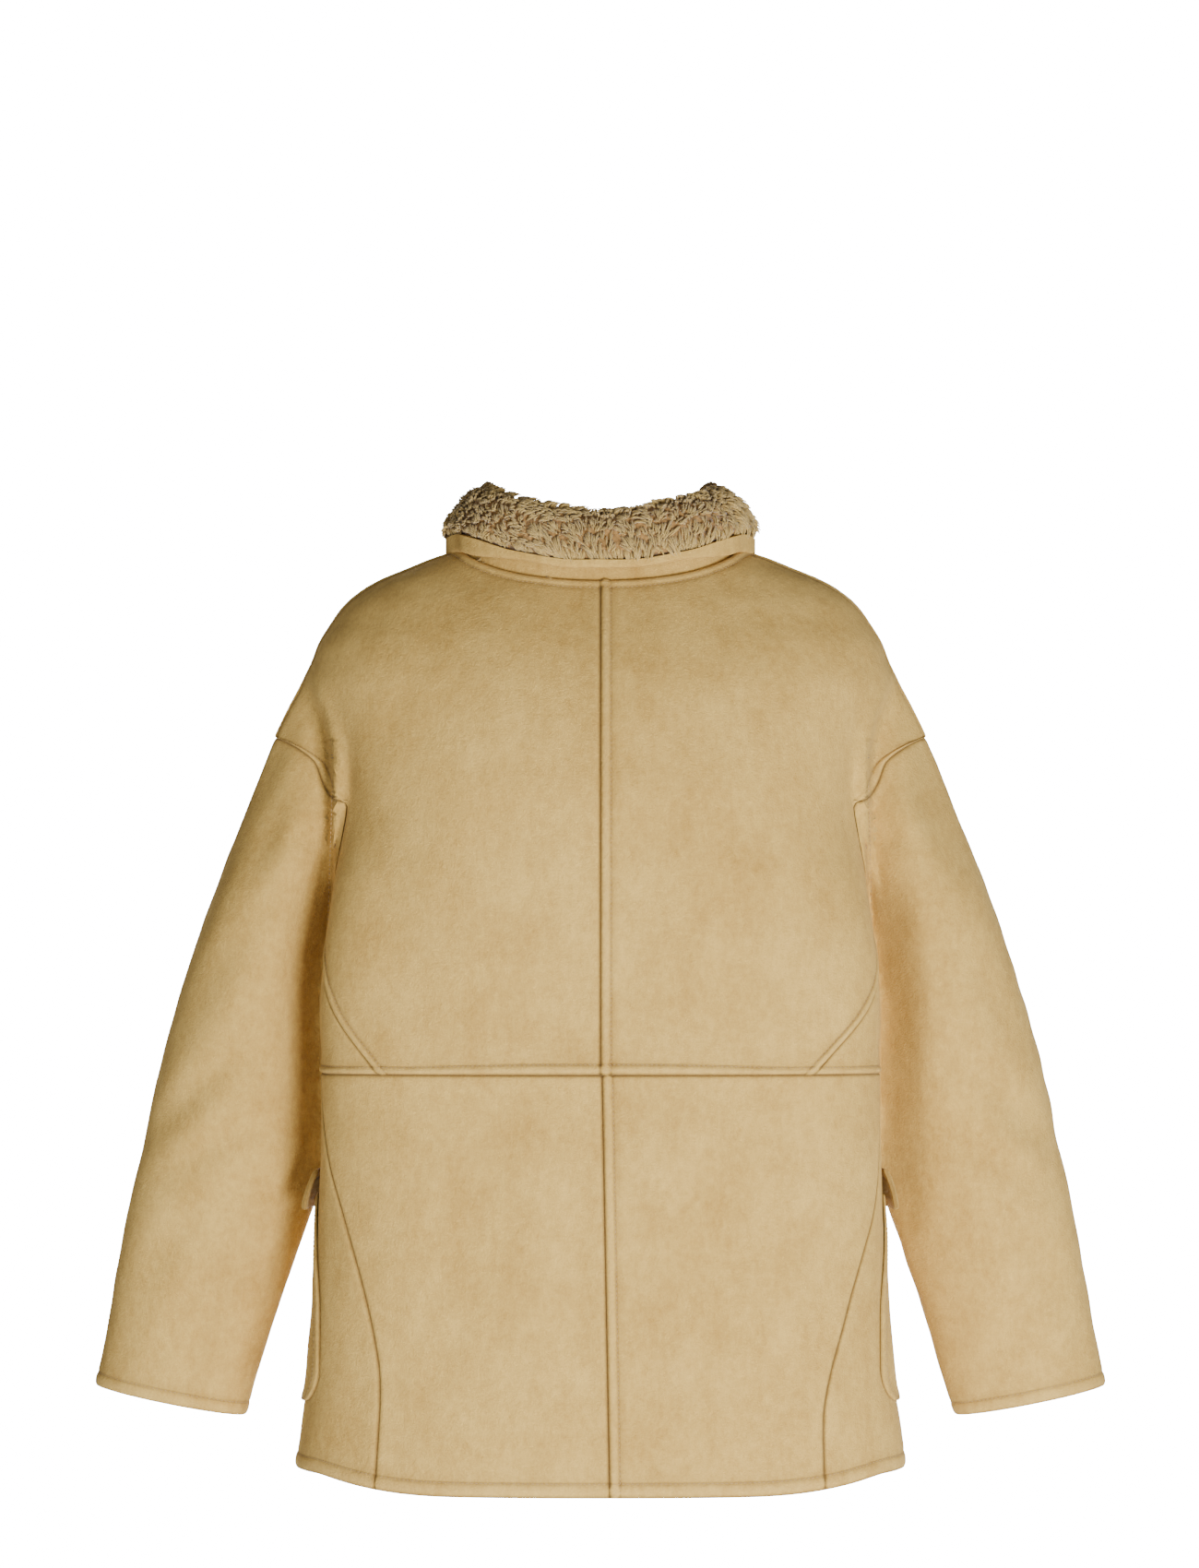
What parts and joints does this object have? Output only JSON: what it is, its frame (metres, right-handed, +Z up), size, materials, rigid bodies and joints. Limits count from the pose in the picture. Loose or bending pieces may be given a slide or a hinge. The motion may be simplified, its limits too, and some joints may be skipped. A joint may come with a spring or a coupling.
{
  "type": "garment",
  "caption": "Hip-length faux shearling jacket in its worn, hollow form, with dropped sleeves, a pile collar and patch pockets.",
  "frame": {"origin": "midpoint between the two points where the shoulder seams meet the neck seam, where the wearer's shoulders hold the jacket", "axes": "+Z up, the front faces -Y and the back +Y, +X towards the wearer's left sleeve"},
  "size_m": [0.8204, 0.3262, 0.7901],
  "materials": {
    "suede": "matte brushed tan faux suede",
    "collar_fur": "curly tan pile",
    "button_horn": "dark brown, satin"
  },
  "bodies": {
    "root": {"upper_back_left": "suede", "upper_back_right": "suede", "upper_front_left": "suede", "upper_front_right": "suede", "lower_back_left": "suede", "lower_back_right": "suede", "lower_front_left": "suede", "lower_front_right": "suede", "sleeve_left": "suede", "sleeve_right": "suede", "collar": "collar_fur", "collar_edge": "suede", "pocket_left": "suede", "pocket_right": "suede", "pocket_flap_left": "suede", "pocket_flap_right": "suede", "button_1": "button_horn", "button_2": "button_horn", "button_3": "button_horn", "button_4": "button_horn", "button_5": "button_horn"}
  },
  "joints": []
}
